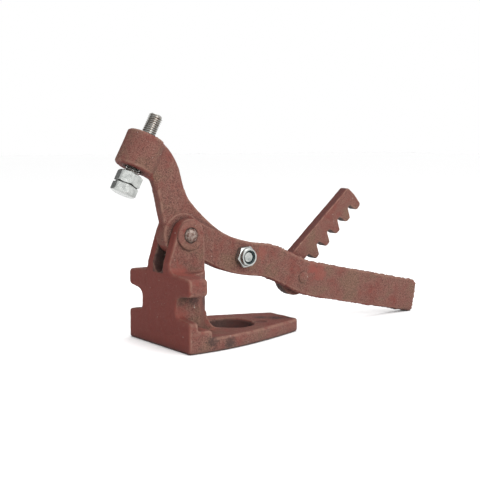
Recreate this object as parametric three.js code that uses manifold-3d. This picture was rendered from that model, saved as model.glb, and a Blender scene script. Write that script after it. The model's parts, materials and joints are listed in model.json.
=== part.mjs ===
// Cast lever clamp for a welding earth lead.
// Millimetres. Z is up, X runs from the jaw face to the end of the handle, and Y is across.
// The origin is in the underside of the base, half way through the jaw plate.
import * as THREE from 'three';
import { mergeVertices } from 'three/addons/utils/BufferGeometryUtils.js';
import Module from 'manifold-3d';

const wasm = await Module();
wasm.setup();

// ---- driving dimensions ----------------------------------------------------------------------

const gap = 0.3;                                  // clearance left between touching pieces

// base casting
const plateBack = -10, plateFront = 7.5;           // the jaw plate's two faces, along X
const lugHalf = 47.4;                             // half width over the lugs
const lowerLugTop = 24.7, upperLugBottom = 45.6, upperLugTop = 59.2;
const webHalf = 26.5;                             // half width of the web between the lugs
const spineFront = 26, spineHalf = 16;            // the thick rib behind the web
const lugStepX = -2, lugStepZ = 18;               // relief on the inside of each lower lug
const footEnd = 122.5, footTipHalf = 19.6, footTop = 11.5;
const hole = { x: 61, rx: 20.5, ry: 23 };         // the opening in the foot
const dimple = { x: 87, y: -11, r: 6, deep: 1.2 };  // shallow round recess beyond the opening
const rootFillet = 16;

// clevis and pivot
const pivot = { x: 10, z: 91.5 };
const earR = 13.2, earShift = 1.5;                // the ears' round tops, a little in front of the pin
const earOuter = 17, slotHalf = 7.4, slotFloor = 61;
const earFlare = 7;                               // fillet from the ears onto the lugs
const pinR = 5.8, peenR = 5.2, pinHeadR = 8.5, pinHeadT = 4;
const washerR = 12, washerT = 2.4;

// lever casting
const leverHalf = 5, leverEdge = 0.8;
const hubR = 17.8, hubHalf = 7, padHalf = 6.7;
const bossR = 16.2, bossTop = 19.2, bossBottom = 48;   // distances down the adjusting bolt
const screwTip = { x: -10.3, z: 187.9 };               // thread end of the adjusting bolt
const screwTilt = THREE.MathUtils.degToRad(62.6);      // its axis above +X

// M12 adjusting bolt and lock nut
const m12 = { r: 5.85, flats: 19, head: 7.5, nut: 10, length: 62.2 };
const nutTop = 52.2;                              // distance from the thread end to the nut

// M10 bolt for the cable lug, with a locking nut
const cable = { x: 73.4, z: 68.6 };
const m10 = { r: 4.85, flats: 17, head: 6.4, nutHex: 5.2, nutCollar: 3.4, collarR: 7.9, recess: 1.9 };
const nutTurn = THREE.MathUtils.degToRad(23.5);         // how the nut's hexagon happens to be turned

// toothed rack, in its own axes: s along it from the rivet, t across towards the teeth
const rivet = { x: 140, z: 44.9 };
const rackTilt = THREE.MathUtils.degToRad(40.7);
const rackNear = 5.3, rackFar = 15.3;
const rackDiscR = 17.7, rackBack = -19.1, rackLength = 101;
const rackRoot = -4.5, toothTip = 5.1, toothPitch = 16.6, firstTooth = 30.5, toothCount = 5;
const rivetR = 4, rivetHeadR = 5.2, rivetHeadT = 2.2;

// ---- solids ----------------------------------------------------------------------------------

// A closed three.js geometry as a manifold solid.
function solid(geometry) {
  geometry.deleteAttribute('normal');
  geometry.deleteAttribute('uv');
  const welded = mergeVertices(geometry, 1e-4);
  return new wasm.Manifold(new wasm.Mesh({
    numProp: 3,
    vertProperties: new Float32Array(welded.attributes.position.array),
    triVerts: new Uint32Array(welded.index.array),
  }));
}

// A manifold solid back as a three.js geometry.
function geometryOf(body) {
  const mesh = body.getMesh();
  const geometry = new THREE.BufferGeometry();
  geometry.setAttribute('position', new THREE.BufferAttribute(mesh.vertProperties, 3));
  geometry.setIndex(new THREE.BufferAttribute(mesh.triVerts, 1));
  geometry.computeVertexNormals();
  return geometry;
}

const union = (...bodies) => bodies.reduce((a, b) => a.add(b));
const cut = (body, ...tools) => tools.reduce((a, b) => a.subtract(b), body);

// A shape through corners [x, y, radius], each corner turned with a true arc.
function filleted(corners) {
  const shape = new THREE.Shape();
  corners.forEach(([x, y, r], i) => {
    const corner = new THREE.Vector2(x, y);
    const toward = (j) => new THREE.Vector2(...corners.at(j % corners.length)).sub(corner).normalize();
    const back = toward(i - 1), ahead = toward(i + 1);
    const half = Math.acos(back.dot(ahead)) / 2;
    const start = corner.clone().addScaledVector(back, r / Math.tan(half));
    const end = corner.clone().addScaledVector(ahead, r / Math.tan(half));
    if (i === 0) shape.moveTo(start.x, start.y);
    else shape.lineTo(start.x, start.y);
    if (r === 0) return;
    const centre = back.clone().add(ahead).setLength(r / Math.sin(half)).add(corner);
    const from = start.sub(centre).angle(), to = end.sub(centre).angle();
    shape.absarc(centre.x, centre.y, r, from, to, back.cross(ahead) > 0);
  });
  return shape;
}

// A shape extruded along +Z from lo to hi, with its edges chamfered inwards.
function extruded(shape, lo, hi, edge = 0, curveSegments = 8) {
  const geometry = new THREE.ExtrudeGeometry(shape, {
    depth: hi - lo - 2 * edge, curveSegments,
    bevelEnabled: edge > 0, bevelSize: edge, bevelThickness: edge, bevelOffset: -edge,
    bevelSegments: 1,
  });
  return geometry.translate(0, 0, lo + edge);
}

// The same, for a shape drawn in X and Z and extruded along Y, or drawn in Y and Z along X.
const alongY = (shape, lo, hi, edge, n) =>
  solid(extruded(shape, -hi, -lo, edge, n).rotateX(Math.PI / 2));
const alongX = (shape, lo, hi, edge, n) => {
  const turn = new THREE.Matrix4().makeBasis(
    new THREE.Vector3(0, 1, 0), new THREE.Vector3(0, 0, 1), new THREE.Vector3(1, 0, 0));
  return solid(extruded(shape, lo, hi, edge, n).applyMatrix4(turn));
};
const alongZ = (shape, lo, hi, edge, n) => solid(extruded(shape, lo, hi, edge, n));

// A turned piece on +Y from a profile of [radius, height] that starts and ends on the axis.
function turned(profile, segments = 40) {
  const points = profile.map(([r, h]) => new THREE.Vector2(r, h));
  return new THREE.LatheGeometry(points, segments);
}
const rod = (r, lo, hi, chamfer = 0.01, segments = 36) => turned([
  [0, lo], [r - chamfer, lo], [r, lo + chamfer], [r, hi - chamfer], [r - chamfer, hi], [0, hi],
], segments);

// A hexagon across flats f from lo to hi on +Y, its corners turned off at one end or both.
function hexagon(f, lo, hi, ends = 'both') {
  const corner = f / Math.sqrt(3);
  const prism = new THREE.CylinderGeometry(corner, corner, hi - lo, 6).translate(0, (lo + hi) / 2, 0);
  const drop = (corner - f / 2) * 0.9;
  const low = ends === 'high' ? 0.01 : drop, high = ends === 'low' ? 0.01 : drop;
  const reach = corner + 0.02;
  const bound = turned([
    [0, lo], [reach - low * 1.7, lo], [reach, lo + low],
    [reach, hi - high], [reach - high * 1.7, hi], [0, hi],
  ], 48);
  return solid(prism).intersect(solid(bound));
}

// Places a geometry made on +Y along the Y axis at a point of the XZ plane.
const across = (geometry, at) => geometry.translate(at.x, 0, at.z);

// The tool that bores a hole right across for a pin or bolt of radius r.
const bore = (r, at) => solid(across(rod(r + gap, -40, 40), at));

// Turns a piece made on +Y so that +Y runs up the adjusting bolt to its thread end.
const screwFrame = new THREE.Matrix4()
  .makeBasis(
    new THREE.Vector3(Math.sin(screwTilt), 0, -Math.cos(screwTilt)),
    new THREE.Vector3(Math.cos(screwTilt), 0, Math.sin(screwTilt)),
    new THREE.Vector3(0, -1, 0))
  .setPosition(screwTip.x, 0, screwTip.z);
const hexTurn = THREE.MathUtils.degToRad(-9);     // how the bolt's hexagons happen to be turned
const onScrew = (body) => geometryOf(body).rotateY(hexTurn).applyMatrix4(screwFrame);

// ---- base casting ----------------------------------------------------------------------------

function mirrored(corners) {
  return [...corners, ...corners.map(([y, z, r]) => [-y, z, r]).reverse()];
}

function baseCasting() {
  const plate = filleted(mirrored([
    [lugHalf, 0, 1.5], [lugHalf, lowerLugTop, 3], [webHalf, 27.8, 5], [webHalf, 41.5, 6],
    [34.5, 44.6, 4], [lugHalf, upperLugBottom, 3.5], [lugHalf, upperLugTop, 4],
    [earOuter, slotFloor + 1, earFlare], [earOuter, slotFloor + 1 + earFlare, 0],
  ]));
  const spine = filleted(mirrored([[webHalf, 14, 4], [spineHalf, spineFront, 3]])
    .map(([y, x, r]) => [x, y, r]).concat([[plateBack + 2, -webHalf, 0], [plateBack + 2, webHalf, 0]]));
  const ears = new THREE.Shape();
  ears.moveTo(plateBack, 40);
  ears.lineTo(plateBack, slotFloor + 1 + earFlare);
  ears.absarc(pivot.x + earShift, pivot.z, earR, Math.PI - 0.32, 0.45, true);
  ears.lineTo(spineFront - 1, 84);
  ears.lineTo(spineFront, 40);
  const slot = filleted([
    [-slotHalf, 130, 0], [slotHalf, 130, 0], [slotHalf, slotFloor, 7.2], [-slotHalf, slotFloor, 7.2],
  ]);

  const foot = new THREE.Shape();
  foot.moveTo(plateBack + 2, lugHalf);
  foot.lineTo(plateBack + 2, -lugHalf);
  foot.lineTo(16, -lugHalf);
  foot.bezierCurveTo(50, -lugHalf + 2, 84, -34, footEnd - 3, -footTipHalf - 1);
  foot.absarc(footEnd - 3.5, -footTipHalf + 3, 3.5, -1.2, 0, false);
  foot.absarc(footEnd - 3.5, footTipHalf - 3, 3.5, 0, 1.2, false);
  foot.bezierCurveTo(84, 34, 50, lugHalf - 2, 16, lugHalf);

  const heel = filleted([
    [plateBack + 2, 4, 0], [12, 4, 0], [12, lugStepZ, 3], [plateBack + 2, lugStepZ, 0],
  ]);
  const root = new THREE.Shape();
  root.moveTo(10, 4);
  root.lineTo(spineFront + rootFillet, 4);
  root.lineTo(spineFront + rootFillet, footTop);
  root.absarc(spineFront + rootFillet, footTop + rootFillet, rootFillet, -Math.PI / 2, -Math.PI, true);
  root.lineTo(10, footTop + rootFillet);

  const casting = union(
    alongX(plate, plateBack, plateFront, 1.2),
    alongZ(spine, 1, slotFloor, 0),
    alongY(ears, -earOuter, earOuter, 1),
    alongZ(foot, 0, footTop, 1.2, 16),
    alongY(heel, -lugHalf, lugHalf, 1),
    alongY(root, -spineHalf - 2, spineHalf + 2, 0),
  );

  const relief = [1, -1].map((side) => alongY(
    filleted([[lugStepX, lugStepZ, 2], [40, lugStepZ, 0], [40, 40, 0], [lugStepX, 40, 0]]),
    side > 0 ? webHalf + 1 : -60, side > 0 ? 60 : -webHalf - 1, 0));
  const lip = 1.07, lipDeep = 1.5;                // the opening's rounded edge, as a flare
  const opening = solid(turned([
    [0, -5], [lip, -5], [lip, 0], [1, lipDeep],
    [1, footTop - lipDeep], [lip, footTop], [lip, footTop + 9], [0, footTop + 9],
  ], 56).rotateX(Math.PI / 2).scale(hole.rx, hole.ry, 1).translate(hole.x, 0, 0));
  const dimpleCut = solid(rod(dimple.r, footTop - dimple.deep, footTop + 4, 0.4)
    .rotateX(Math.PI / 2).translate(dimple.x, dimple.y, 0));
  return cut(casting, alongX(slot, -40, 60, 0), ...relief, opening, dimpleCut,
    bore(pinR, pivot));
}

// ---- pivot pin and washer --------------------------------------------------------------------

// The pin has a round head on the far ear and is peened over a washer on the near one.
function pivotPin() {
  const near = -earOuter - gap - washerT - gap, far = earOuter + gap;
  return solid(across(turned([
    [0, near - 2.6], [peenR - 2, near - 2.3], [peenR, near - 0.9], [pinR, near],
    [pinR, far], [pinHeadR, far], [pinHeadR, far + pinHeadT - 1.2],
    [pinHeadR - 1.5, far + pinHeadT], [0, far + pinHeadT],
  ]), pivot));
}

function pivotWasher() {
  const face = -earOuter - gap;
  const disc = solid(across(rod(washerR, face - washerT, face, 0.5, 48), pivot));
  return cut(disc, bore(pinR, pivot));
}

// ---- lever casting ---------------------------------------------------------------------------

function leverCasting() {
  const v = (list) => list.map(([x, z]) => new THREE.Vector2(x, z));
  const web = new THREE.Shape();
  web.moveTo(-20, 168);
  web.lineTo(-12, 171);
  web.splineThru(v([[1, 158.7], [8.6, 145.6], [14.4, 125.9], [21.2, 115.8], [36.1, 101.8],
    [54.6, 89], [80, 81], [106.3, 76.4], [127.2, 67.6], [147.9, 58.6]]));
  web.lineTo(278, 31.4);
  web.splineThru(v([[283.8, 29.2], [285.6, 25.5], [282.6, 10], [280, 1.6], [277, 0.4]]));
  web.lineTo(165, 23.6);
  web.splineThru(v([[139.8, 30.2], [115.4, 41.4], [97, 48.8], [72, 52.6], [48.4, 59.6], [20, 72.8]]));
  web.lineTo(-4, 80);
  web.splineThru(v([[-6.2, 100], [-8.5, 110], [-10.4, 119], [-12.4, 127], [-14.4, 133]]));
  web.lineTo(-16, 136.4);
  web.lineTo(-32, 144.6);

  // the hub's thickness runs out along the lever below a ridge, and tapers away before the bolt
  const pad = new THREE.Shape();
  pad.moveTo(10, 108.6);
  pad.splineThru(v([[17.9, 106.2], [28.3, 99.9], [36.7, 95.6], [47.1, 91.8], [58, 86.2]]));
  pad.lineTo(58, 57.4);
  pad.lineTo(48.4, 60.4);
  pad.lineTo(20, 73.8);
  pad.lineTo(10, 77);
  const taper = new THREE.Shape(v([[0, -padHalf], [20, -padHalf], [60, -leverHalf],
    [60, leverHalf], [20, padHalf], [0, padHalf]]));
  const fan = alongY(pad, -padHalf, padHalf, 0, 6).intersect(alongZ(taper, 50, 120));

  const hub = rod(hubR, -hubHalf, hubHalf, 0.8, 56);
  const screwAxis = (r, lo, hi, chamfer) =>
    solid(rod(r, -hi, -lo, chamfer, 48).applyMatrix4(screwFrame));
  const casting = union(
    alongY(web, -leverHalf, leverHalf, leverEdge, 8),
    fan,
    solid(across(hub, pivot)),
    screwAxis(bossR, bossTop, bossBottom, 1.2),
  );
  return cut(casting, bore(pinR, pivot), bore(m10.r, cable), bore(rivetR, rivet),
    screwAxis(m12.r + gap, 0, 80));
}

// ---- adjusting bolt and lock nut -------------------------------------------------------------

function adjustingBolt() {
  const shank = solid(rod(m12.r, -m12.length - 1, 0, 0.9, 36));
  const head = hexagon(m12.flats, -m12.length - m12.head, -m12.length, 'low');
  return onScrew(union(shank, head));
}

function lockNut() {
  const nut = hexagon(m12.flats, -nutTop - m12.nut + gap, -nutTop);
  return onScrew(cut(nut, solid(rod(m12.r + gap, -90, 0))));
}

// ---- cable bolt and its locking nut ----------------------------------------------------------

const nutFace = -leverHalf - gap;                                // the nut seats on the near side
const nutEnd = nutFace - m10.nutHex - m10.nutCollar;

function cableBolt() {
  const seat = leverHalf + gap;
  const shank = solid(rod(m10.r, nutEnd + m10.recess, seat + 1, 0.8, 32));
  const head = hexagon(m10.flats, seat, seat + m10.head, 'high');
  return geometryOf(union(shank, head)).translate(cable.x, 0, cable.z);
}

const insertR = 6.6, insertDeep = 3.2;
function cableNut() {
  const hex = hexagon(m10.flats, nutFace - m10.nutHex, nutFace);
  const collar = solid(turned([
    [0, nutEnd], [m10.collarR - 1.6, nutEnd], [m10.collarR, nutEnd + 1.4],
    [m10.collarR, nutFace - 1], [0, nutFace - 1],
  ], 40));
  const nut = cut(union(hex, collar),
    solid(rod(m10.r + gap, -40, 0)),
    solid(rod(insertR + gap, nutEnd - 5, nutEnd + insertDeep + gap)));
  return geometryOf(nut).rotateY(nutTurn).translate(cable.x, 0, cable.z);
}

function cableNutInsert() {
  const ring = cut(
    solid(rod(insertR, nutEnd + 0.4, nutEnd + insertDeep, 0.3)),
    solid(rod(m10.r + gap, -40, 0)));
  return geometryOf(ring).translate(cable.x, 0, cable.z);
}

// ---- toothed rack and rivet ------------------------------------------------------------------

function toothedRack() {
  const outline = [
    [rackLength - 2, rackBack, 3], [rackLength, -8, 10], [rackLength, toothTip - 0.8, 3],
  ];
  for (let i = toothCount - 1; i >= 0; i--) {
    const s = firstTooth + i * toothPitch;
    if (i < toothCount - 1) outline.push([s + 2.6, toothTip, 1.8]);
    outline.push([s - 3.2, toothTip, 2.4], [s - 6.6, rackRoot, 1.9]);
    if (i > 0) outline.push([s + 6.4 - toothPitch, rackRoot, 1.9]);
  }
  outline.push([rackDiscR * 0.6, rackRoot, 0], [0, 0, 0], [0, 1 - rackDiscR, 0], [8, rackBack, 0]);
  const plate = solid(extruded(filleted(outline), rackNear, rackFar, 0.5, 5)
    .rotateX(-Math.PI / 2)
    .applyMatrix4(new THREE.Matrix4().makeRotationY(-rackTilt).setPosition(rivet.x, 0, rivet.z)));
  const disc = solid(across(rod(rackDiscR, rackNear, rackFar, 0.5, 56), rivet));
  return cut(union(plate, disc), bore(rivetR, rivet));
}

function rackRivet() {
  const near = -leverHalf - gap, far = rackFar + gap;
  return solid(across(turned([
    [0, near - rivetHeadT], [rivetHeadR * 0.6, near - rivetHeadT + 0.3], [rivetHeadR, near - 0.6],
    [rivetHeadR, near], [rivetR, near], [rivetR, far], [rivetHeadR, far], [rivetHeadR, far + 0.6],
    [rivetHeadR * 0.6, far + rivetHeadT - 0.3], [0, far + rivetHeadT],
  ]), rivet));
}

// ---- scene graph -----------------------------------------------------------------------------

const primer = { color: 0x7d4a40, roughness: 0.85, metalness: 0.0 };
const darkPrimer = { color: 0x6f4038, roughness: 0.85, metalness: 0.0 };
const bareSteel = { color: 0x8d857c, roughness: 0.55, metalness: 0.8 };
const zinc = { color: 0xb9bcb8, roughness: 0.35, metalness: 0.9 };
const nylon = { color: 0x2f4f4f, roughness: 0.5, metalness: 0.0 };

const clamp = new THREE.Group();
clamp.name = 'ground_clamp';

function addPiece(name, shape, finish) {
  const geometry = shape instanceof THREE.BufferGeometry ? shape : geometryOf(shape);
  const mesh = new THREE.Mesh(geometry, new THREE.MeshStandardMaterial(finish));
  mesh.name = name;
  clamp.add(mesh);
}

addPiece('base_casting', baseCasting(), primer);
addPiece('pivot_pin', pivotPin(), bareSteel);
addPiece('pivot_washer', pivotWasher(), darkPrimer);
addPiece('lever_casting', leverCasting(), primer);
addPiece('adjusting_bolt', adjustingBolt(), zinc);
addPiece('lock_nut', lockNut(), zinc);
addPiece('cable_bolt', cableBolt(), zinc);
addPiece('cable_nut', cableNut(), zinc);
addPiece('cable_nut_insert', cableNutInsert(), nylon);
addPiece('toothed_rack', toothedRack(), darkPrimer);
addPiece('rack_rivet', rackRivet(), bareSteel);

export default clamp;
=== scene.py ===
import json
import math
import bmesh
import bpy
from mathutils import Matrix, Vector, noise


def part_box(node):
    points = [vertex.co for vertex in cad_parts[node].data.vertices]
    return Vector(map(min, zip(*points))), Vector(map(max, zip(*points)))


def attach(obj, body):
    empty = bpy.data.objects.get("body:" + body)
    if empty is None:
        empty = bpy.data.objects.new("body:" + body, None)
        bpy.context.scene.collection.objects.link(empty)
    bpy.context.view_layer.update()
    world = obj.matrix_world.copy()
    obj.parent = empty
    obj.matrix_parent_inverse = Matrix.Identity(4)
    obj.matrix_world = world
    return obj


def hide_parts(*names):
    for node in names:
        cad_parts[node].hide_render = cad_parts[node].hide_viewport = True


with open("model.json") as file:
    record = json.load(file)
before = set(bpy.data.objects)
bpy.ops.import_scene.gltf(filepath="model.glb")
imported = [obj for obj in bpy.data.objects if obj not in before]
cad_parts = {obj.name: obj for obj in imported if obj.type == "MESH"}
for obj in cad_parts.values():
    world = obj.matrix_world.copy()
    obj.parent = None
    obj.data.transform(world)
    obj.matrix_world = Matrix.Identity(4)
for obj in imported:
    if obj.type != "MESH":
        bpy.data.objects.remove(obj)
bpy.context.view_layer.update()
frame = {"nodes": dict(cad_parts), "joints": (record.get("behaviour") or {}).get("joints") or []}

# ---- base casting ---------------------------------------------------------------------------
# The base is one iron sand casting: jaw plate, notched lugs, fork and foot in a single pour.
# It is fettled by hand and dipped in red-oxide primer, which stays clean and red on the jaw
# face, darker there partly as painted shade, and is rubbed brown and dusty on the faces that
# get handled. Its fork, its foot's opening and its recess are darkened with painted shade.

PRIMER_RED = (0.136, 0.030, 0.023)
PRIMER_BROWN = (0.112, 0.043, 0.034)
PRIMER_DUST = (0.210, 0.112, 0.084)
PRIMER_OLIVE = (0.098, 0.056, 0.034)
PRIMER_THICK = (0.205, 0.053, 0.040)
SCALE_AND_SHADE = (0.026, 0.018, 0.016)
IRON_GLINT = (0.50, 0.45, 0.40)
SKIN_LUMPS, SKIN_PITS = 95, 330
FAIRING_PASSES = 30


def material_graph(name):
    """A new material, its shader, and short ways to add a node and to join two sockets."""
    mat = bpy.data.materials.new(name)
    mat.use_nodes = True
    tree = mat.node_tree
    shader = tree.nodes["Principled BSDF"]

    def add(kind, inputs=(), **props):
        node = tree.nodes.new(kind)
        for key, value in props.items():
            setattr(node, key, value)
        for key, value in dict(inputs).items():
            if isinstance(value, bpy.types.NodeSocket):
                tree.links.new(value, node.inputs[key])
            else:
                node.inputs[key].default_value = value
        return node

    return mat, shader, add, tree.links.new


def mottle(add, place, scale, detail=4.0, rough=0.55):
    """A cloudy grey value from 0 to 1; scale is in repeats to the metre."""
    return add("ShaderNodeTexNoise", {"Vector": place, "Scale": scale, "Detail": detail,
                                      "Roughness": rough}).outputs["Fac"]


def stretched(add, value, low, high):
    """value stretched so that low becomes 0 and high becomes 1."""
    return add("ShaderNodeMapRange", {"Value": value, "From Min": low, "From Max": high},
               interpolation_type="SMOOTHSTEP").outputs["Result"]


def times(add, a, b):
    return add("ShaderNodeMath", {0: a, 1: b}, operation="MULTIPLY").outputs[0]


def plus(add, a, b):
    return add("ShaderNodeMath", {0: a, 1: b}, operation="ADD").outputs[0]


def laid_over(add, amount, under, over):
    """One colour laid over another by amount; a Mix node's colours are its sockets 6 and 7."""
    colours = [c if isinstance(c, bpy.types.NodeSocket) else (*c, 1.0) for c in (under, over)]
    return add("ShaderNodeMix", {0: amount, 6: colours[0], 7: colours[1]},
               data_type="RGBA").outputs[2]


def patch_at(add, place, ragged, spot):
    """1 at the spot (x, y, z, radius), falling to 0 at its radius, with a ragged edge."""
    x, y, z, radius = spot
    away = add("ShaderNodeVectorMath", {0: place, 1: (x, y, z)}, operation="DISTANCE")
    wander = times(add, plus(add, ragged, -0.5), radius * 2.2)
    return stretched(add, plus(add, away.outputs["Value"], wander), radius, radius * 0.3)


def cast_primer(name, dust, scale_and_shade_spots=(), thick_spots=(), worn=0.75):
    """Red-oxide primer on a sand casting. The scale spots are where it has gone to dark scale,
    and some are painted shade round parts that stand on it; thick_spots are where it lies thick
    and bright. A skin's dust value says which faces have been rubbed brown and dusty, and which
    are kept dark red, partly as painted shade; its shade value says where dark colour is laid as
    painted shade. worn is how far the corners are lightened, as rubbed primer and as a painted
    highlight."""
    mat, shader, add, join = material_graph(name)
    place = add("ShaderNodeTexCoord").outputs["Object"]
    point = add("ShaderNodeNewGeometry").outputs["Pointiness"]
    faces = add("ShaderNodeAttribute", attribute_name="handled_and_lit").outputs["Fac"]
    broad = mottle(add, place, 42.0, 3.0, 0.6)
    patch = mottle(add, place, 170.0, 4.0, 0.65)
    grain = mottle(add, place, 1150.0, 3.0, 0.75)
    fine = mottle(add, place, 2200.0, 2.0, 0.6)

    cloudy = plus(add, broad, times(add, plus(add, patch, -0.5), 0.6))
    # Faces low in the skin's dust value keep the darker red: partly clean primer, partly painted
    # shade on faces turned from the light.
    brown = times(add, faces, stretched(add, cloudy, 0.10, 0.62))
    colour = laid_over(add, times(add, brown, dust), PRIMER_RED, PRIMER_BROWN)
    olive = times(add, faces, stretched(add, broad, 0.50, 0.66))
    colour = laid_over(add, times(add, olive, dust * 0.70), colour, PRIMER_OLIVE)
    dusty = times(add, brown, stretched(add, grain, 0.44, 0.62))
    colour = laid_over(add, times(add, dusty, dust * 0.62), colour, PRIMER_DUST)
    flecks = times(add, stretched(add, fine, 0.58, 0.70), faces)
    colour = laid_over(add, times(add, flecks, 0.60), colour, PRIMER_DUST)
    pits = times(add, stretched(add, grain, 0.48, 0.34), plus(add, times(add, faces, 0.5), 0.25))
    colour = laid_over(add, pits, colour, SCALE_AND_SHADE)

    for spot in thick_spots:
        amount = patch_at(add, place, patch, spot)
        colour = laid_over(add, times(add, amount, 0.42), colour, PRIMER_THICK)
    for spot in scale_and_shade_spots:
        amount = patch_at(add, place, grain, spot)
        colour = laid_over(add, times(add, amount, 0.70), colour, SCALE_AND_SHADE)
    # Dark colour laid as painted shade where the skin's shade value asks: in hollows, along the
    # lever's ridge, and on the rack's back edge and undersides.
    painted_shade_amount = add("ShaderNodeAttribute", attribute_name="painted_shade").outputs["Fac"]
    painted_shade_amount = times(add, painted_shade_amount, plus(add, times(add, stretched(add, patch, 0.30, 0.60), -0.25), 1.0))
    colour = laid_over(add, times(add, painted_shade_amount, 0.86), colour, SCALE_AND_SHADE)
    # Corners are lightened, partly as rubbed primer and partly as a painted highlight, less so on
    # faces kept dark as painted shade.
    rubbed_and_highlit = times(add, stretched(add, point, 0.503, 0.535), stretched(add, patch, 0.32, 0.54))
    rubbed_and_highlit = times(add, rubbed_and_highlit, plus(add, times(add, faces, 0.7), 0.3))
    colour = laid_over(add, times(add, rubbed_and_highlit, worn), colour, PRIMER_DUST)
    # Painted shade darkens crevices and gaps between parts, found by ambient occlusion.
    occlusion_shade = add("ShaderNodeAmbientOcclusion", {"Distance": 0.014}, samples=6).outputs["AO"]
    painted_hollow_shade = times(add, stretched(add, occlusion_shade, 0.72, 0.18), 0.8)
    colour = laid_over(add, painted_hollow_shade, colour, SCALE_AND_SHADE)
    bare = times(add, stretched(add, mottle(add, place, 780.0, 0.0), 0.80, 0.84),
                 stretched(add, patch, 0.50, 0.58))
    colour = laid_over(add, times(add, bare, 0.7), colour, IRON_GLINT)
    join(colour, shader.inputs["Base Color"])

    gloss = plus(add, times(add, patch, 0.25), times(add, bare, -0.3))
    join(plus(add, gloss, 0.60), shader.inputs["Roughness"])
    shader.inputs["Specular IOR Level"].default_value = 0.20
    skin = plus(add, times(add, patch, 0.00055), times(add, grain, 0.00060))
    height = plus(add, skin, times(add, fine, 0.00014))
    bump = add("ShaderNodeBump", {"Height": height, "Strength": 1.0, "Distance": 1.0})
    join(bump.outputs["Normal"], shader.inputs["Normal"])
    return mat


def cast_skin(name, node, step, wander, clean_and_shaded, painted_shade_rule=None, fin=None, blended=None):
    """The casting's true shape with its edges softened and its skin wandering in and out.
    Each rule takes a place and its normal. The first says how free of dust it is, and how far
    it is kept dark red as painted shade; the next how much painted shade is laid on it; fin how
    far a rough parting line stands out; and blended whether it is faired."""
    rough = frame["nodes"][node].data.copy()
    bm = bmesh.new()
    bm.from_mesh(rough)
    bmesh.ops.remove_doubles(bm, verts=bm.verts, dist=1e-6)
    bm.to_mesh(rough)
    bm.free()
    blank = bpy.data.objects.new(f"{name}_blank", rough)
    bpy.context.scene.collection.objects.link(blank)
    skin = blank.modifiers.new("skin", "REMESH")
    skin.mode = "VOXEL"
    skin.voxel_size = step
    bpy.context.view_layer.update()
    skinned = blank.evaluated_get(bpy.context.evaluated_depsgraph_get())
    mesh = bpy.data.meshes.new_from_object(skinned)
    bpy.data.objects.remove(blank)

    bm = bmesh.new()
    bm.from_mesh(mesh)
    every_way = {"use_axis_x": True, "use_axis_y": True, "use_axis_z": True}
    bmesh.ops.smooth_vert(bm, verts=bm.verts, factor=0.5, **every_way)
    bm.normal_update()
    faired = [v for v in bm.verts if blended and blended(v.co, v.normal)]
    for _ in range(FAIRING_PASSES if faired else 0):
        bmesh.ops.smooth_vert(bm, verts=faired, factor=0.5, **every_way)
    bm.normal_update()
    handled_and_lit = bm.verts.layers.float.new("handled_and_lit")
    painted_shade = bm.verts.layers.float.new("painted_shade")
    for vert in bm.verts:
        vert[handled_and_lit] = 1.0 - clean_and_shaded(vert.co, vert.normal)
        vert[painted_shade] = painted_shade_rule(vert.co, vert.normal) if painted_shade_rule else 0.0
        lump = noise.noise(vert.co * SKIN_LUMPS) * 0.7 + noise.noise(vert.co * SKIN_PITS) * 0.3
        out = lump * wander + (fin(vert.co, vert.normal) if fin else 0.0)
        vert.co += vert.normal * out
        vert.co.z = max(vert.co.z, 0.0)
    bm.to_mesh(mesh)
    bm.free()
    mesh.shade_smooth()
    mesh.name = name
    piece = bpy.data.objects.new(name, mesh)
    bpy.context.scene.collection.objects.link(piece)
    return piece


def fitted(piece, material, body, slot, *nodes):
    """Gives a piece its finish, and its place on the body in place of the plain nodes."""
    piece.data.materials.clear()
    piece.data.materials.append(material)
    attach(piece, body)
    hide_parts(*nodes)


FORK_HALF, FORK_FLOOR = 0.0079, 0.0605
OPENING_X, OPENING_LONG, OPENING_WIDE = 0.061, 0.0205, 0.023
RECESS_X, RECESS_Y, RECESS_RADIUS = 0.087, -0.011, 0.0066
OPENING_TOP, RECESS_TOP = 0.0112, 0.0113


def base_dust_and_shade(place, normal):
    """The jaw face is clean and red, and the top of the foot half so; the jaw face's darker red is
    partly painted shade on a face turned from the light.
    """
    if normal.x < -0.3:
        return 0.95 * min((-normal.x - 0.3) / 0.4, 1.0)
    return 0.5 * max(normal.z, 0.0) ** 2 + 0.35 * max(normal.x, 0.0)


def base_hollow_shade(place, normal):
    """Painted shade inside the fork and on the wall of the foot's opening, and half as much in the
    recess beyond it.
    """
    in_fork = abs(place.y) < FORK_HALF and place.z > FORK_FLOOR
    out = math.hypot((place.x - OPENING_X) / OPENING_LONG, place.y / OPENING_WIDE)
    in_opening = out < 1.12 and abs(normal.z) < 0.55 and place.z < OPENING_TOP
    from_recess = math.hypot(place.x - RECESS_X, place.y - RECESS_Y)
    in_recess = from_recess < RECESS_RADIUS and 0.009 < place.z < RECESS_TOP
    return 1.0 if in_fork or in_opening else 0.5 if in_recess else 0.0


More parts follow.
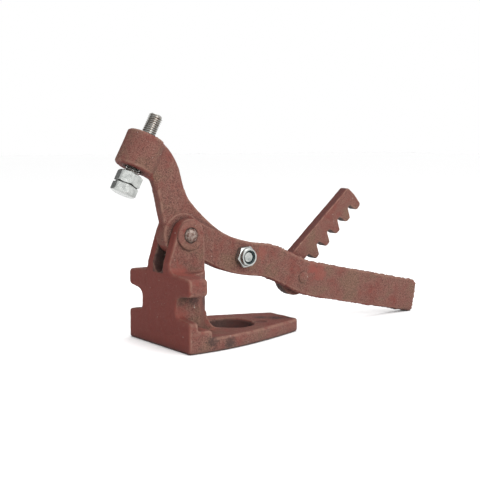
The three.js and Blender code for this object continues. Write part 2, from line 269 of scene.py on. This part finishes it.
base = cast_skin("cast_base", "base_casting", step=0.00088, wander=0.00035,
                 clean_and_shaded=base_dust_and_shade, painted_shade_rule=base_hollow_shade)
base_primer = cast_primer(
    "red_oxide_on_base", dust=0.95,
    scale_and_shade_spots=((-0.002, -0.034, 0.041, 0.010), (0.008, -0.027, 0.041, 0.009),
                 (0.012, -0.0475, 0.009, 0.008), (0.030, -0.047, 0.005, 0.009),
                 (0.108, -0.006, 0.0115, 0.011), (0.098, 0.004, 0.0115, 0.009),
                 (0.016, -0.026, 0.050, 0.008), (0.118, -0.012, 0.010, 0.006),
                 (0.019, -0.0165, 0.036, 0.010), (0.021, -0.0165, 0.050, 0.008)),
    thick_spots=((-0.004, -0.021, 0.064, 0.009), (0.000, -0.027, 0.0595, 0.008),
                 (0.010, -0.040, 0.0185, 0.010), (-0.004, -0.030, 0.030, 0.009),
                 (0.034, -0.020, 0.018, 0.012)))
fitted(base, base_primer, "base", "primed_casting", "base_casting")

# ---- pivot pin ------------------------------------------------------------------------------
# The pivot is a plain steel pin with a round head on the far ear. Its near end is hammered
# over the washer, which leaves a dull, dented dome with rust in the dents.

joint_place = {joint["name"]: joint.get("pos_m") for joint in frame["joints"]}
PIVOT_X, _, PIVOT_Z = joint_place["lever_pivot"]
PIN_RADIUS = 0.0058
PIN_HEAD = 0.0085
EAR_FACE = 0.0173
PEEN_TOP, PEEN_ROOT = 0.0226, 0.0199
DENT_DEPTH = 0.0006
STEEL_DULL = (0.125, 0.085, 0.070)
STEEL_BRIGHT = (0.23, 0.180, 0.155)
RUST = (0.09, 0.035, 0.024)


def turned(profile, steps=56, closed=False):
    """A bmesh turned about Z from a profile of (radius, height)."""
    bm = bmesh.new()
    verts = [bm.verts.new((r, 0.0, h)) for r, h in profile]
    pairs = list(zip(verts, verts[1:])) + ([(verts[-1], verts[0])] if closed else [])
    edges = [bm.edges.new(pair) for pair in pairs]
    bmesh.ops.spin(bm, geom=verts + edges, cent=(0, 0, 0), axis=(0, 0, 1), dvec=(0, 0, 0),
                   angle=2 * math.pi, steps=steps, use_merge=True, use_duplicate=False)
    bmesh.ops.remove_doubles(bm, verts=bm.verts, dist=1e-6)
    bmesh.ops.recalc_face_normals(bm, faces=bm.faces)
    return bm


def across(x, z):
    """Stands a piece made on Z across the clamp at (x, z), with its top on the near side."""
    return Matrix.Translation((x, 0, z)) @ Matrix.Rotation(math.pi / 2, 4, "X")


def finished(name, bm, where, smooth=35.0):
    """A bmesh put in its place and made an object, smooth over angles under the given one."""
    bmesh.ops.transform(bm, matrix=where, verts=bm.verts)
    mesh = bpy.data.meshes.new(name)
    bm.to_mesh(mesh)
    bm.free()
    mesh.shade_smooth()
    mesh.set_sharp_from_angle(angle=math.radians(smooth))
    piece = bpy.data.objects.new(name, mesh)
    bpy.context.scene.collection.objects.link(piece)
    return piece


pin_bm = turned([
    (0, PEEN_TOP), (0.0012, PEEN_TOP), (0.0024, 0.02245), (0.0035, 0.0221), (0.0044, 0.0216),
    (0.0050, 0.0209), (0.0053, 0.0203), (0.0053, 0.0200), (0.0057, 0.0198),
    (PIN_RADIUS, 0.0190), (PIN_RADIUS, -EAR_FACE), (PIN_HEAD, -EAR_FACE), (PIN_HEAD, -0.0199),
    (0.0077, -0.0208), (0.0062, -0.0212), (0, -0.0213)])
for vert in pin_bm.verts:
    if vert.co.z > PEEN_ROOT:
        dent = noise.noise(vert.co * 420)
        vert.co.z -= DENT_DEPTH * max(dent, 0.0)
        vert.co.xy *= 1.0 + 0.10 * noise.noise(vert.co * 260)
pin = finished("pivot_pin_hammered", pin_bm, across(PIVOT_X, PIVOT_Z), smooth=60)


def bare_steel(name, rusty, dents):
    """Dull steel with rust in its hollows; dents is the depth of the hammer marks."""
    mat, shader, add, join = material_graph(name)
    place = add("ShaderNodeTexCoord").outputs["Object"]
    patch = mottle(add, place, 420.0, 4.0, 0.65)
    grain = mottle(add, place, 1700.0, 3.0, 0.7)
    marks = add("ShaderNodeTexVoronoi", {"Vector": place, "Scale": 560.0},
                feature="SMOOTH_F1").outputs["Distance"]
    colour = laid_over(add, stretched(add, patch, 0.38, 0.62), STEEL_DULL, STEEL_BRIGHT)
    rust = stretched(add, plus(add, patch, times(add, grain, 0.4)), 0.78 - rusty * 0.2, 0.62)
    colour = laid_over(add, times(add, rust, 0.85), colour, RUST)
    join(colour, shader.inputs["Base Color"])
    shader.inputs["Metallic"].default_value = 0.55
    join(plus(add, times(add, rust, 0.3), 0.46), shader.inputs["Roughness"])
    height = plus(add, times(add, marks, dents), times(add, grain, 0.00006))
    bump = add("ShaderNodeBump", {"Height": height, "Strength": 0.8, "Distance": 1.0})
    join(bump.outputs["Normal"], shader.inputs["Normal"])
    return mat


fitted(pin, bare_steel("hammered_steel", rusty=0.6, dents=0.0004), "base", "bare_steel",
       "pivot_pin")

# ---- pivot washer ---------------------------------------------------------------------------
# A thick punched washer lies between the near ear and the hammered end of the pin. It was
# dipped with the base and is pitted, and a dark patch round the pin's head is painted shade.


def rubbed_all_over(piece):
    """Marks every face of a small piece as handled."""
    handled_and_lit = piece.data.attributes.new("handled_and_lit", "FLOAT", "POINT")
    handled_and_lit.data.foreach_set("value", [0.9] * len(piece.data.vertices))


WASHER_BORE, WASHER_RADIUS = 0.0061, 0.0120
washer_bm = turned([
    (WASHER_BORE, EAR_FACE), (0.0118, EAR_FACE), (WASHER_RADIUS, 0.0178),
    (WASHER_RADIUS, 0.0191), (0.0117, 0.0195), (0.0111, 0.0197), (0.0072, 0.0196),
    (0.0065, 0.0194), (WASHER_BORE, 0.0188)], steps=64, closed=True)
for vert in washer_bm.verts:
    vert.co.z += 0.00012 * noise.noise(vert.co * 300)
    vert.co.xy *= 1.0 + 0.012 * noise.noise(vert.co * 220)
washer = finished("pivot_washer_pitted", washer_bm, across(PIVOT_X, PIVOT_Z), smooth=50)
rubbed_all_over(washer)
# The dark spot round the pin's head is painted shade.
washer_primer = cast_primer("red_oxide_on_washer", dust=0.8, worn=0.2,
                            scale_and_shade_spots=((PIVOT_X, -0.0197, 0.0905, 0.0080),))
fitted(washer, washer_primer, "base", "primed_washer", "pivot_washer")

# ---- lever casting --------------------------------------------------------------------------
# The lever is a second sand casting: screw boss, curved arm, pivot hub and flat handle. The
# fin left along the handle's parting line was only roughly ground off, so its edges are ragged.

SCREW_TIP = Vector(joint_place["screw_turn"])
SCREW_TILT = math.radians(62.6)
ACROSS_SCREW = Vector((math.sin(SCREW_TILT), 0, -math.cos(SCREW_TILT)))
RIVET_X, _, RIVET_Z = joint_place["rack_pivot"]
bolt_low, bolt_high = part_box("cable_bolt")
CABLE_X, _, CABLE_Z = (bolt_low + bolt_high) / 2
HANDLE_START, FIN_FADE = 0.085, 0.03
FIN_HEIGHT = 0.0014
BOSS_UNDER = 0.145
RIDGE = ((0.010, 0.1086), (0.0179, 0.1062), (0.0283, 0.0999), (0.0367, 0.0956),
         (0.0471, 0.0918), (0.058, 0.0862))
RIDGE_FROM, RIDGE_TO = 0.0155, 0.054
SHADE_ABOVE, SHADE_WIDTH = 0.0012, 0.0022
ROOT_LOW, ROOT_BACK = 0.128, -0.022
ROOT_SIDES = (0.0035, 0.0165)
ROOT_OFF_AXIS = 0.0085


def handle_fin(place, normal):
    """How far the ragged fin stands out from the handle's edges."""
    if place.x < HANDLE_START or abs(normal.y) > 0.8:
        return 0.0
    ragged = noise.noise(Vector((place.x * 620, place.y * 260, place.z * 620)))
    fade = min((place.x - HANDLE_START) / FIN_FADE, 1.0)
    return FIN_HEIGHT * fade * max(ragged + 0.1, 0.0)


def lever_dust_and_shade(place, normal):
    """The lever is dusty, most of all on the boss, and its edges less so; its underside is left
    dark red with little dust as painted shade.
    """
    if normal.z < -0.5:
        return 0.9
    return 0.1 if place.z > BOSS_UNDER else 0.45 * (1 - abs(normal.y))


def lever_ridge_shade(place, normal):
    """Painted shade along the sheltered side of the ridge that runs from the hub along the top of
    the lever.
    """
    if abs(normal.y) < 0.5 or not RIDGE_FROM < place.x < RIDGE_TO:
        return 0.0
    after, (x1, z1) = next(i for i in enumerate(RIDGE) if i[1][0] > place.x)
    x0, z0 = RIDGE[after - 1]
    above = place.z - z0 - (z1 - z0) * (place.x - x0) / (x1 - x0)
    return 0.55 * max(1 - abs(above - SHADE_ABOVE) / SHADE_WIDTH, 0.0)


def boss_root(place, normal):
    """Where the arm runs into the boss, which is faired in with a wide fillet."""
    in_height = place.z > ROOT_LOW and place.x > ROOT_BACK
    beside_arm = ROOT_SIDES[0] < abs(place.y) < ROOT_SIDES[1]
    return in_height and beside_arm and (place - SCREW_TIP).dot(ACROSS_SCREW) > ROOT_OFF_AXIS


lever = cast_skin("cast_lever", "lever_casting", step=0.00085, wander=0.00035,
                  clean_and_shaded=lever_dust_and_shade, painted_shade_rule=lever_ridge_shade, fin=handle_fin, blended=boss_root)
# The dark spots round the cable nut, the rivet and the pivot hub are painted shade.
lever_primer = cast_primer(
    "red_oxide_on_lever", dust=1.0,
    scale_and_shade_spots=((-0.006, -0.014, 0.153, 0.006), (CABLE_X, -0.0055, CABLE_Z, 0.0108),
                 (RIVET_X, -0.0055, RIVET_Z, 0.0066), (PIVOT_X, -0.0075, PIVOT_Z, 0.0170)),
    thick_spots=((0.160, -0.005, 0.048, 0.010), (0.150, -0.005, 0.053, 0.007),
                 (0.093, -0.005, 0.070, 0.008)))
fitted(lever, lever_primer, "lever", "primed_casting", "lever_casting")

# ---- adjusting bolt -------------------------------------------------------------------------
# The jaw screw is a fully threaded M12 hexagon bolt, zinc plated. Its thread end has dulled
# and holds brown dirt and primer, and all its grooves are darkened brown as painted shade.

M12_RADIUS, M12_PITCH, M12_DEPTH = 0.00585, 0.00175, 0.00095
M12_FLATS = 0.0190
UNDER_HEAD, HEAD_END = -0.0622, -0.0697
HEX_TURN = math.radians(21)
HEX_SHOULDER, HEX_EDGE, BORE_CHAMFER = 0.0005, 0.0003, 0.0006
FACE_RING, FACE_RADIUS = 0.0006, 0.0086
HEAD_LAP, THREAD_LAP = 0.0003, 0.001
ZINC = (0.40, 0.41, 0.395)
ZINC_GREY = (0.29, 0.30, 0.29)
ZINC_DIRT_AND_SHADE = (0.16, 0.105, 0.075)
ZINC_SHADOW = (0.05, 0.045, 0.04)

screw_place = Matrix.Translation(SCREW_TIP) @ Matrix((
    (math.sin(SCREW_TILT), 0, math.cos(SCREW_TILT), 0),
    (0, 1, 0, 0),
    (-math.cos(SCREW_TILT), 0, math.sin(SCREW_TILT), 0),
    (0, 0, 0, 1)))


def threaded(radius, pitch, depth, low, high, tip, steps=28):
    """A right-hand threaded rod on Z, its top end chamfered to the radius of the tip."""
    root, start = radius - depth, low - 1.5 * pitch
    turns = math.ceil((high - low) / pitch) + 3
    bm = bmesh.new()
    groove = ((root, 0.0), (root, 0.14), (radius, 0.50), (radius, 0.64), (root, 1.0))
    verts = [bm.verts.new((r, 0.0, start + h * pitch)) for r, h in groove]
    edges = [bm.edges.new(pair) for pair in zip(verts, verts[1:])]
    bmesh.ops.spin(bm, geom=verts + edges, cent=(0, 0, 0), axis=(0, 0, 1),
                   dvec=(0, 0, pitch / steps), angle=2 * math.pi * turns, steps=steps * turns,
                   use_merge=False, use_duplicate=False)
    bmesh.ops.remove_doubles(bm, verts=bm.verts, dist=2e-6)
    for level, away in ((low, -1), (high, 1)):
        cut = bmesh.ops.bisect_plane(bm, geom=bm.verts[:] + bm.edges[:] + bm.faces[:], dist=1e-7,
                                     plane_co=(0, 0, level), plane_no=(0, 0, away),
                                     clear_outer=True)
        rim = [e for e in cut["geom_cut"] if isinstance(e, bmesh.types.BMEdge)]
        bmesh.ops.holes_fill(bm, edges=rim, sides=0)
    for vert in bm.verts:
        limit = tip + (high - vert.co.z)
        if vert.co.xy.length > limit > 0:
            vert.co.xy *= limit / vert.co.xy.length
    bmesh.ops.recalc_face_normals(bm, faces=bm.faces)
    return bm


def hexagon(flats, low, high, turn, cut_low=True, cut_high=True, bore=0.0):
    """A hexagon block on Z; its corners are turned off at 30 degrees at the ends that are cut."""
    face, slope = flats / 2 * 0.96, math.tan(math.radians(30))
    profile = [(bore, low), (face, low), (flats / 2, low + HEX_SHOULDER),
               (flats / 2, high - HEX_SHOULDER), (face, high), (bore, high)]
    if bore:
        profile[0:1] = [(bore, low + BORE_CHAMFER), (bore + BORE_CHAMFER, low)]
        profile[-1:] = [(bore + BORE_CHAMFER, high), (bore, high - BORE_CHAMFER)]
    bm = turned(profile, 72, closed=bore > 0)
    for vert in bm.verts:
        if vert.co.xy.length > face + 1e-5:
            around = (math.atan2(vert.co.y, vert.co.x) - turn) % math.radians(60)
            reach = flats / 2 / math.cos(around - math.radians(30))
            vert.co.xy *= reach / vert.co.xy.length
            drop = (reach - face) * slope
            if vert.co.z < (low + high) / 2:
                vert.co.z = low + (drop if cut_low else 0.0002)
            else:
                vert.co.z = high - (drop if cut_high else 0.0002)
    corners = [e for e in bm.edges if len(e.link_faces) == 2 and e.calc_face_angle() > 0.6
               and abs(e.verts[0].co.z - e.verts[1].co.z) > (high - low) * 0.3]
    bmesh.ops.bevel(bm, geom=corners, offset=HEX_EDGE, offset_type="OFFSET", affect="EDGES",
                    segments=2, profile=0.5, material=-1)
    return bm


def zinc_plate(name, dirt_and_shade_from=None, dirt_and_shade_colour=ZINC_DIRT_AND_SHADE):
    """Zinc plate with a faint bloom and fine scratches. Given a spot (x, y, z, radius), it is
    darkened there, and with painted shade in all its grooves, in the given colour; the spot is
    dirt on the jaw screw and painted shade on the cable bolt."""
    mat, shader, add, join = material_graph(name)
    place = add("ShaderNodeTexCoord").outputs["Object"]
    bloom = mottle(add, place, 260.0, 4.0, 0.6)
    speck = mottle(add, place, 1900.0, 2.0, 0.7)
    drawn_out = add("ShaderNodeMapping", {"Vector": place, "Scale": (9, 1, 9)}).outputs[0]
    brushed = mottle(add, drawn_out, 300.0, 3.0, 0.6)
    colour = laid_over(add, stretched(add, bloom, 0.36, 0.66), ZINC, ZINC_GREY)
    worn = stretched(add, speck, 0.62, 0.74)
    colour = laid_over(add, times(add, worn, 0.5), colour, ZINC_GREY)
    if dirt_and_shade_from:
        dirt_and_shade_patch = times(add, patch_at(add, place, bloom, dirt_and_shade_from),
                      stretched(add, bloom, 0.36, 0.60))
        # Painted shade in the grooves of the thread.
        painted_hollow_shade = stretched(add, add("ShaderNodeNewGeometry").outputs["Pointiness"], 0.52, 0.47)
        colour = laid_over(add, plus(add, times(add, dirt_and_shade_patch, 0.35), times(add, painted_hollow_shade, 0.60)),
                           colour, dirt_and_shade_colour)
    occlusion_shade = add("ShaderNodeAmbientOcclusion", {"Distance": 0.003}, samples=6).outputs["AO"]
    colour = laid_over(add, times(add, stretched(add, occlusion_shade, 0.60, 0.10), 0.6), colour,
                       ZINC_SHADOW)
    join(colour, shader.inputs["Base Color"])
    shader.inputs["Metallic"].default_value = 0.9
    join(plus(add, times(add, bloom, 0.25), 0.12), shader.inputs["Roughness"])
    height = plus(add, times(add, brushed, 0.00004), times(add, speck, 0.00003))
    bump = add("ShaderNodeBump", {"Height": height, "Strength": 0.6, "Distance": 1.0})
    join(bump.outputs["Normal"], shader.inputs["Normal"])
    return mat


def joined(name, parts, where, smooth=35.0):
    """Several bmeshes made one piece; each is a closed shell that runs into the next."""
    whole = parts[0]
    for part in parts[1:]:
        scrap = bpy.data.meshes.new("scrap")
        part.to_mesh(scrap)
        part.free()
        whole.from_mesh(scrap)
        bpy.data.meshes.remove(scrap)
    return finished(name, whole, where, smooth)


washer_face = turned([(0, UNDER_HEAD), (FACE_RADIUS, UNDER_HEAD),
                      (FACE_RADIUS, UNDER_HEAD - FACE_RING), (0, UNDER_HEAD - FACE_RING)])
jaw_screw = joined("jaw_screw", [
    hexagon(M12_FLATS, HEAD_END, UNDER_HEAD - HEAD_LAP, HEX_TURN, cut_high=False),
    washer_face,
    threaded(M12_RADIUS, M12_PITCH, M12_DEPTH, UNDER_HEAD - THREAD_LAP, 0.0, tip=0.0046)],
    screw_place)
fitted(jaw_screw, zinc_plate("zinc_on_screw", dirt_and_shade_from=(*SCREW_TIP, 0.026)),
       "adjusting_bolt", "zinc_plate", "adjusting_bolt")

# ---- lock nut -------------------------------------------------------------------------------
# A plated M12 nut runs on the jaw screw between its head and the boss, and locks it when it is
# turned up against the casting. Both of its faces are chamfered.

NUT_LOW, NUT_HIGH = -0.0619, -0.0522
THREAD_GAP = 0.00025
lock_nut = finished("lock_nut_m12", hexagon(M12_FLATS, NUT_LOW, NUT_HIGH, HEX_TURN,
                                            bore=M12_RADIUS + THREAD_GAP), screw_place)
fitted(lock_nut, zinc_plate("zinc_on_lock_nut"), "lock_nut", "zinc_plate", "lock_nut")

# ---- cable bolt -----------------------------------------------------------------------------
# An M10 plated bolt goes through the lever for the earth cable's lug. Its head is on the far
# side, and its end stops just inside the nut's collar on the near side.

LEVER_SEAT = 0.0053
BOLT_HEAD, BOLT_END = -0.0117, 0.0120
SHANK_LOW, SHANK_HIGH, THREAD_LOW = -0.0056, 0.0022, 0.0020
M10_RADIUS, M10_PITCH, M10_DEPTH = 0.00485, 0.0015, 0.0008
M10_FLATS = 0.0170
BOLT_END_SHADE = (0.09, 0.125, 0.122)
UPRIGHT = math.radians(30)
cable_place = across(CABLE_X, CABLE_Z)
cable_bolt = joined("cable_bolt_m10", [
    hexagon(M10_FLATS, BOLT_HEAD, -LEVER_SEAT, UPRIGHT, cut_high=False),
    turned([(0, SHANK_LOW), (M10_RADIUS, SHANK_LOW), (M10_RADIUS, SHANK_HIGH), (0, SHANK_HIGH)]),
    threaded(M10_RADIUS, M10_PITCH, M10_DEPTH, THREAD_LOW, BOLT_END, tip=0.0041)], cable_place)
# The cable bolt's end inside the collar, and its grooves, are darkened grey-green as painted
# shade.
cable_zinc = zinc_plate("zinc_on_cable_bolt", (CABLE_X, -BOLT_END, CABLE_Z, 0.012), BOLT_END_SHADE)
fitted(cable_bolt, cable_zinc, "lever", "zinc_plate", "cable_bolt")

# ---- cable nut ------------------------------------------------------------------------------
# The nut is a locking nut: a plated hexagon with a round collar, rolled in at the top to hold
# a nylon ring.

NUT_TOP = 0.0105
COLLAR_RADIUS, COLLAR_LOW, COLLAR_TOP = 0.0079, 0.0098, 0.0139
NYLON_RADIUS = 0.0066
NUT_TURN = math.radians(6.5)
nut_block = hexagon(M10_FLATS, LEVER_SEAT, NUT_TOP, NUT_TURN, bore=M10_RADIUS + THREAD_GAP)
collar = turned([
    (0.0056, COLLAR_LOW), (COLLAR_RADIUS, COLLAR_LOW), (COLLAR_RADIUS, 0.0121),
    (0.00775, 0.0130), (0.0073, 0.01365), (0.0066, COLLAR_TOP), (0.0061, 0.0138),
    (0.0059, 0.0135), (0.0062, 0.0132), (0.0069, 0.0130), (0.0069, 0.0104),
    (0.0056, 0.0104)], steps=64, closed=True)
cable_nut = joined("cable_lock_nut", [nut_block, collar], cable_place)
fitted(cable_nut, zinc_plate("zinc_on_cable_nut"), "lever", "zinc_plate", "cable_nut")

# ---- nylon ring -----------------------------------------------------------------------------
# A dark green-blue nylon ring inside the collar grips the bolt's thread, and keeps the nut
# from working loose. It is a little dusty.

NYLON, NYLON_DUST = (0.004, 0.017, 0.020), (0.05, 0.09, 0.09)
nylon_bm = turned([
    (0.0051, 0.0107), (NYLON_RADIUS, 0.0107), (NYLON_RADIUS, 0.0123), (0.0062, 0.0127),
    (0.0056, 0.0128), (0.0051, 0.0124)], steps=64, closed=True)
nylon_ring = finished("nylon_lock_ring", nylon_bm, cable_place)
nylon, shader, add, join = material_graph("nylon_green_blue")
place = add("ShaderNodeTexCoord").outputs["Object"]
dust = stretched(add, mottle(add, place, 700.0, 4.0, 0.7), 0.50, 0.72)
join(laid_over(add, times(add, dust, 0.5), NYLON, NYLON_DUST), shader.inputs["Base Color"])
join(plus(add, times(add, dust, 0.3), 0.38), shader.inputs["Roughness"])
scuff = add("ShaderNodeBump", {"Height": times(add, mottle(add, place, 1500.0), 0.0001),
                               "Strength": 0.6, "Distance": 1.0})
join(scuff.outputs["Normal"], shader.inputs["Normal"])
fitted(nylon_ring, nylon, "lever", "nylon", "cable_nut_insert")

# ---- toothed rack ---------------------------------------------------------------------------
# The rack is a flat cast bar with five rounded teeth that swings on its rivet behind the
# handle. Its sides and corners are rubbed, its corners also lightened as a painted highlight,
# and its back edge and the undersides of its root and teeth are darkened as painted shade.

RACK_BACK = Vector((-0.652, 0, 0.758))


def rack_dust_and_shade(place, normal):
    """The rack's back edge never gets handled, and stays dark red as painted shade on the edge
    turned from the light.
    """
    return 0.95 if normal.dot(RACK_BACK) > 0.6 else 0.3 * (1 - abs(normal.y))


def rack_edge_shade(place, normal):
    """Painted shade: the back edge, turned from the light, is dark, and the undersides of the root
    and the teeth are darker still.
    """
    if normal.dot(RACK_BACK) > 0.75:
        return 0.62
    return 0.95 if normal.z < -0.3 else 0.0


rack = cast_skin("cast_rack", "toothed_rack", step=0.00060, wander=0.00028,
                 clean_and_shaded=rack_dust_and_shade, painted_shade_rule=rack_edge_shade)
rack_primer = cast_primer("red_oxide_on_rack", dust=1.0, worn=0.9,
                          scale_and_shade_spots=((0.176, 0.006, 0.066, 0.006), (0.190, 0.006, 0.079, 0.005)))
fitted(rack, rack_primer, "rack", "primed_rack", "toothed_rack")

# ---- rack rivet -----------------------------------------------------------------------------
# A steel rivet with low round heads holds the rack to the handle. The near head was primed
# with the lever, and is dusty and a little worn.

RIVET_RADIUS, RIVET_HEAD = 0.0040, 0.0052
RACK_SEAT = -0.0156
rivet_bm = turned([
    (0, 0.0075), (0.0016, 0.00745), (0.0031, 0.0072), (0.0042, 0.0067), (0.0050, 0.0060),
    (RIVET_HEAD, LEVER_SEAT), (RIVET_RADIUS, LEVER_SEAT), (RIVET_RADIUS, RACK_SEAT),
    (RIVET_HEAD, RACK_SEAT),
    (0.0050, -0.0164), (0.0042, -0.0170), (0.0031, -0.0175), (0, -0.0178)])
for vert in rivet_bm.verts:
    if not -0.0160 < vert.co.z < 0.0057:
        vert.co.z += 0.00025 * noise.noise(vert.co * 330)
rivet = finished("rack_rivet_headed", rivet_bm, across(RIVET_X, RIVET_Z), smooth=60)
rubbed_all_over(rivet)
rivet_primer = cast_primer("red_oxide_on_rivet", dust=1.0, worn=0.35)
fitted(rivet, rivet_primer, "lever", "primed_rivet", "rack_rivet")

# ---- floor, light and camera ----------------------------------------------------------------
# The clamp stands on plain white paper in a light tent: soft light all round, stronger from the
# front right and from above, and weaker from the jaw's side.

FLOOR_HALF, FLOOR_DROP = 8.0, 0.0002
BRIGHT_SIDE = (0.18, -0.80, 0.57)
floor_bm = bmesh.new()
bmesh.ops.create_grid(floor_bm, x_segments=1, y_segments=1, size=FLOOR_HALF)
bmesh.ops.translate(floor_bm, vec=(0, 0, -FLOOR_DROP), verts=floor_bm.verts)
floor_mesh = bpy.data.meshes.new("paper_floor")
floor_bm.to_mesh(floor_mesh)
floor_bm.free()
floor = bpy.data.objects.new("paper_floor", floor_mesh)
bpy.context.scene.collection.objects.link(floor)
paper, shader, add, join = material_graph("white_paper")
place = add("ShaderNodeTexCoord").outputs["Object"]
join(laid_over(add, mottle(add, place, 60.0), (0.90, 0.90, 0.90), (0.94, 0.94, 0.94)),
     shader.inputs["Base Color"])
shader.inputs["Roughness"].default_value = 0.95
floor_mesh.materials.append(paper)

tent = bpy.data.worlds.new("light_tent")
tent.use_nodes = True
tree = tent.node_tree
sky = tree.nodes["Background"]
sky.inputs["Color"].default_value = (1, 1, 1, 1)
towards = tree.nodes.new("ShaderNodeTexCoord")
facing = tree.nodes.new("ShaderNodeVectorMath")
facing.operation = "DOT_PRODUCT"
facing.inputs[1].default_value = BRIGHT_SIDE
tree.links.new(towards.outputs["Generated"], facing.inputs[0])
spread = tree.nodes.new("ShaderNodeMapRange")
for label, value in (("From Min", -0.75), ("From Max", 0.85), ("To Min", 0.12), ("To Max", 1.52)):
    spread.inputs[label].default_value = value
tree.links.new(facing.outputs["Value"], spread.inputs["Value"])
seen = tree.nodes.new("ShaderNodeLightPath")
choose = tree.nodes.new("ShaderNodeMix")  # its plain numbers are sockets 2 and 3
choose.inputs[3].default_value = 1.0
tree.links.new(seen.outputs["Is Camera Ray"], choose.inputs[0])
tree.links.new(spread.outputs["Result"], choose.inputs[2])
tree.links.new(choose.outputs[0], sky.inputs["Strength"])
bpy.context.scene.world = tent


def soft_lamp(name, place, aim, size, watts):
    """A square lamp, size metres wide, turned towards aim."""
    lamp = bpy.data.lights.new(name, "AREA")
    lamp.size = size
    lamp.energy = watts
    stand = bpy.data.objects.new(name, lamp)
    stand.location = place
    stand.rotation_euler = (Vector(aim) - Vector(place)).to_track_quat("-Z", "Y").to_euler()
    bpy.context.scene.collection.objects.link(stand)


middle = (0.08, 0.0, 0.08)
soft_lamp("side_lamp", (-0.55, -0.78, 0.62), (-0.03, 0.0, 0.13), size=0.20, watts=0.35)
soft_lamp("front_lamp", (0.05, -1.1, 0.65), middle, size=0.7, watts=9)
soft_lamp("top_lamp", (0.3, 0.3, 1.3), middle, size=1.0, watts=7)

lens = bpy.data.cameras.new("camera")
lens.lens = 73.45
lens.sensor_width = 36.0
camera = bpy.data.objects.new("camera", lens)
eye, target = Vector((-0.42269, -0.67999, 0.17049)), Vector((0.07293, 0.0, 0.08239))
look = (target - eye).to_track_quat("-Z", "Y").to_matrix()
camera.rotation_euler = (look @ Matrix.Rotation(math.radians(0.124), 3, "Z")).to_euler()
camera.location = eye
bpy.context.scene.collection.objects.link(camera)
bpy.context.scene.camera = camera
bpy.context.scene.view_settings.view_transform = "Standard"
